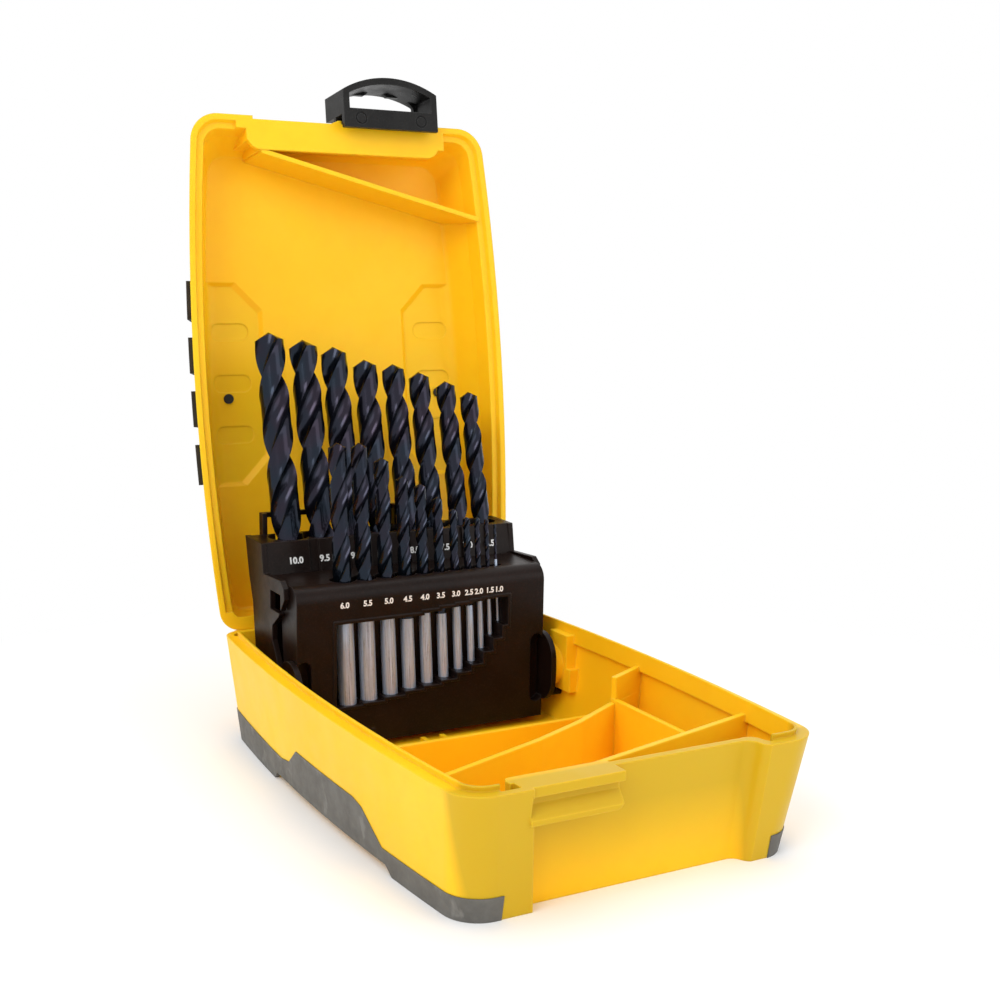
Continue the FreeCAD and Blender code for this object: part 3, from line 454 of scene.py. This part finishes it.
rear_label_places = [-35.4, -25.2, -14.0, -2.8, 8.0, 19.6, 28.6, 37.4]
front_label_places = [-28.7, -20.7, -13.3, -6.5, -0.3, 5.5, 11.1, 16.0, 19.7, 23.9, 27.4]
rear_label_y = REAR_SEAT[0] + (REAR_LABEL_Z - REAR_SEAT[1]) * math.tan(REAR_LEAN) - REAR_FACE_OUT
for size, x in zip(rear_sizes, rear_label_places):
    number(size, REAR_FIGURE, x, rear_label_y, REAR_LABEL_Z, math.pi / 2 - REAR_LEAN)
for size, x in zip(front_sizes, front_label_places):
    number(size, FRONT_FIGURE, x, FRONT_LABEL_Y, FRONT_LABEL_Z, math.pi / 2)


# ---------- floor, light and camera ----------

FLOOR_HALF = 4.0
FADE = (0.09, 0.26)          # from the case outwards the floor turns from lit paper to plain white
WORLD_LIGHT = 0.84           # the world's light on the case; seen or mirrored it is plain white


def floor_material():
    """White paper that takes the case's shadow near it and is plain white further off."""
    m = Maker("floor_paper")
    tone = m.mix(m.span(m.noise(3.0, 3.0), 0.3, 0.7), (0.93, 0.93, 0.93), (0.95, 0.95, 0.95))
    m.set(Base_Color=tone, Roughness=m.span(m.noise(50.0), 0.3, 0.7, 0.7, 0.9))
    glow = m.node("ShaderNodeEmission")
    glow.inputs["Strength"].default_value = 1.0
    path = m.node("ShaderNodeLightPath")
    seen = m.math("MAXIMUM", path.outputs["Is Camera Ray"],
                  m.math("MAXIMUM", path.outputs["Is Glossy Ray"], path.outputs["Is Transmission Ray"]))
    reach = m.node("ShaderNodeVectorMath")
    reach.operation = "LENGTH"
    m.link(m.coord, reach.inputs[0])
    fade = m.math("MULTIPLY", m.span(reach.outputs["Value"], *FADE), seen)
    both = m.node("ShaderNodeMixShader")
    m.link(fade, both.inputs[0])
    m.link(m.bsdf.outputs[0], both.inputs[1])
    m.link(glow.outputs[0], both.inputs[2])
    m.link(both.outputs[0], m.out.inputs[0])
    return m.mat


bm = bmesh.new()
bmesh.ops.create_grid(bm, x_segments=8, y_segments=8, size=FLOOR_HALF)
floor_mesh = bpy.data.meshes.new("floor")
bm.to_mesh(floor_mesh)
bm.free()
floor_mesh.materials.append(floor_material())
floor_obj = bpy.data.objects.new("floor", floor_mesh)
bpy.context.scene.collection.objects.link(floor_obj)

world = bpy.data.worlds.new("studio")
bpy.context.scene.world = world
world.use_nodes = True
sky = world.node_tree
back = sky.nodes["Background"]
back.inputs["Color"].default_value = (1, 1, 1, 1)
path = sky.nodes.new("ShaderNodeLightPath")
seen = path.outputs["Is Camera Ray"]
for ray in ("Is Glossy Ray", "Is Transmission Ray"):
    either = sky.nodes.new("ShaderNodeMath")
    either.operation = "MAXIMUM"
    sky.links.new(seen, either.inputs[0])
    sky.links.new(path.outputs[ray], either.inputs[1])
    seen = either.outputs[0]
level = sky.nodes.new("ShaderNodeMapRange")
sky.links.new(seen, level.inputs["Value"])
level.inputs["To Min"].default_value = WORLD_LIGHT
level.inputs["To Max"].default_value = 1.0
sky.links.new(level.outputs[0], back.inputs["Strength"])


def soft_light(name, place, aim, size, power):
    """A square area light, aimed at a point of the case."""
    lamp = bpy.data.lights.new(name, "AREA")
    lamp.shape = "SQUARE"
    lamp.size = size
    lamp.energy = power
    obj = bpy.data.objects.new(name, lamp)
    bpy.context.scene.collection.objects.link(obj)
    obj.location = place
    obj.rotation_euler = (Vector(aim) - Vector(place)).to_track_quat("-Z", "Y").to_euler()


soft_light("key", (-0.95, -0.55, 0.95), (0, 0, 0.08), 0.7, 7.5)
soft_light("fill", (0.75, -0.95, 0.55), (0, 0.05, 0.1), 0.8, 2.6)
soft_light("top", (0.1, 0.1, 1.3), (0, 0, 0.1), 0.9, 3.5)

CAMERA_ANGLES = (29.3, 9.33, 0.98)                 # yaw, pitch and roll in degrees
CAMERA_PLACE = (-0.20749, -0.37179, 0.15999)
LENS, SENSOR = 52.331, 36.0
SHIFT_X, SHIFT_Y = 0.0042, -0.00103

camera = bpy.data.objects.new("camera", bpy.data.cameras.new("camera"))
bpy.context.scene.collection.objects.link(camera)
yaw, pitch, roll = (math.radians(v) for v in CAMERA_ANGLES)
forward = Vector((math.sin(yaw) * math.cos(pitch), math.cos(yaw) * math.cos(pitch), -math.sin(pitch)))
right = Vector((math.cos(yaw), -math.sin(yaw), 0))
up = right.cross(forward)
right, up = (right * math.cos(roll) + up * math.sin(roll), up * math.cos(roll) - right * math.sin(roll))
turned = Matrix((right, up, -forward)).transposed().to_4x4()
camera.matrix_world = Matrix.Translation(CAMERA_PLACE) @ turned
camera.data.sensor_width = SENSOR
camera.data.lens = LENS
camera.data.shift_x = SHIFT_X
camera.data.shift_y = SHIFT_Y
camera.data.clip_start = 0.01
bpy.context.scene.camera = camera
bpy.context.scene.view_settings.view_transform = "Standard"
